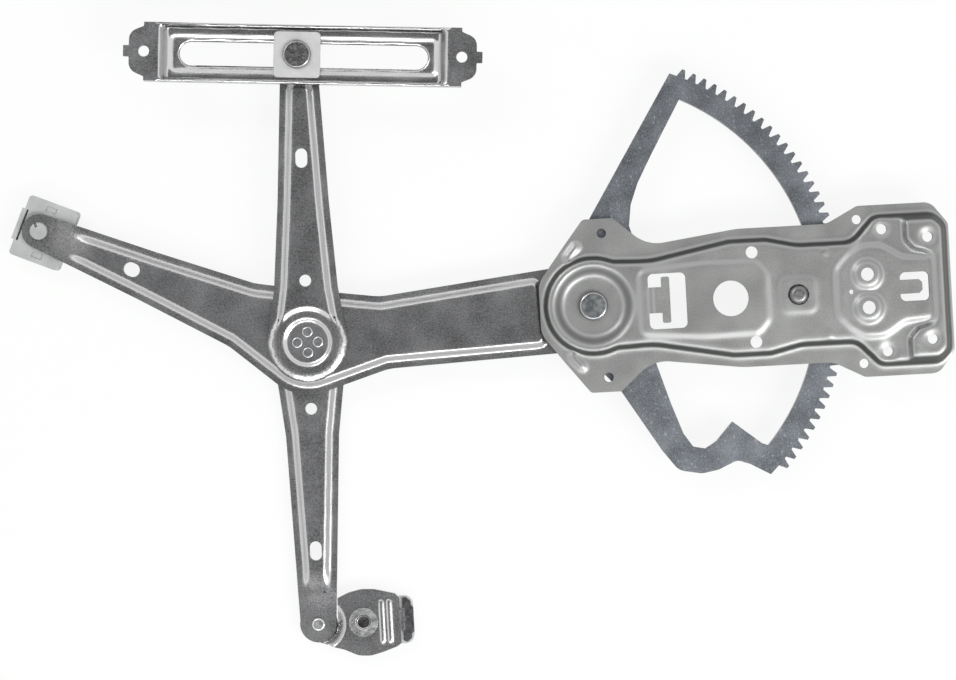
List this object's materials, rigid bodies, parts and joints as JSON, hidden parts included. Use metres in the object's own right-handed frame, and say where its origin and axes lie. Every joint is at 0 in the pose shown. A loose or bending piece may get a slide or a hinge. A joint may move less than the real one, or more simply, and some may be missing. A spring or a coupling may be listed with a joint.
{
  "type": "window regulator",
  "caption": "Crossed-arm car window regulator without its motor: base plate, toothed sector and lift arm, cross arm, slotted guide rail, glass shoe and glass bracket.",
  "frame": {"origin": "centre of the four rivet holes in the base plate's flange, on the face that meets the door panel", "axes": "+X along the base plate to its motor end, +Z out of that face towards the cabin, the linkage lying flat to -X"},
  "size_m": [0.5122, 0.3506, 0.0305],
  "materials": {
    "plate_zinc": "satin zinc plate",
    "zinc_plate": "zinc plate, polished on the pressed ridges",
    "gear_steel": "blanked sheet with a dark plated face",
    "rivet_steel": "plated and headed",
    "washer_steel": "plated",
    "clip_steel": "dark spring steel",
    "slider_plastic": "natural acetal, satin",
    "shoe_plastic": "natural acetal, matt"
  },
  "bodies": {
    "base": {"base_plate": "plate_zinc", "stop_stud": "rivet_steel", "main_pivot": "rivet_steel", "pivot_washer": "washer_steel", "spring_washer": "washer_steel"},
    "lift": {"lift_arm": "zinc_plate", "sector_gear": "gear_steel", "hub_rivets": "rivet_steel"},
    "cross": {"upper_arm": "zinc_plate", "lower_arm": "zinc_plate", "cross_bush": "washer_steel", "cross_ring": "slider_plastic", "cross_rivets": "rivet_steel", "rail_pin": "rivet_steel", "bracket_rivet": "rivet_steel", "bracket_washer": "washer_steel"},
    "slider": {"slide_block": "slider_plastic", "slide_retainer": "slider_plastic"},
    "rail": {"guide_rail": "zinc_plate"},
    "shoe": {"glass_shoe": "shoe_plastic"},
    "bracket": {"glass_bracket": "zinc_plate", "nut_insert": "rivet_steel", "retaining_clip": "clip_steel", "glass_pad": "shoe_plastic"}
  },
  "joints": [
    {"name": "lift_pivot", "type": "hinge", "parent": "base", "child": "lift", "pos_m": [-0.076, 0, 0], "axis": [0, 0, 1], "range_deg": [-62, 39.5]},
    {"name": "cross_pivot", "type": "hinge", "parent": "lift", "child": "cross", "pos_m": [-0.23219, -0.01133, 0], "axis": [0, 0, 1], "range_deg": [-10, 100]},
    {"name": "block_swivel", "type": "hinge", "parent": "cross", "child": "slider", "pos_m": [-0.2288, 0.14383, 0], "axis": [0, 0, 1], "continuous": true},
    {"name": "rail_slide", "type": "slide", "parent": "slider", "child": "rail", "axis": [0.9973, -0.0732, 0], "range_m": [-0.059, 0.052]},
    {"name": "shoe_pivot", "type": "hinge", "parent": "lift", "child": "shoe", "pos_m": [-0.37606, 0.05729, 0], "axis": [0, 0, 1], "continuous": true},
    {"name": "bracket_pivot", "type": "hinge", "parent": "cross", "child": "bracket", "pos_m": [-0.23558, -0.1665, 0], "axis": [0, 0, 1], "range_deg": [-120, 0]}
  ]
}
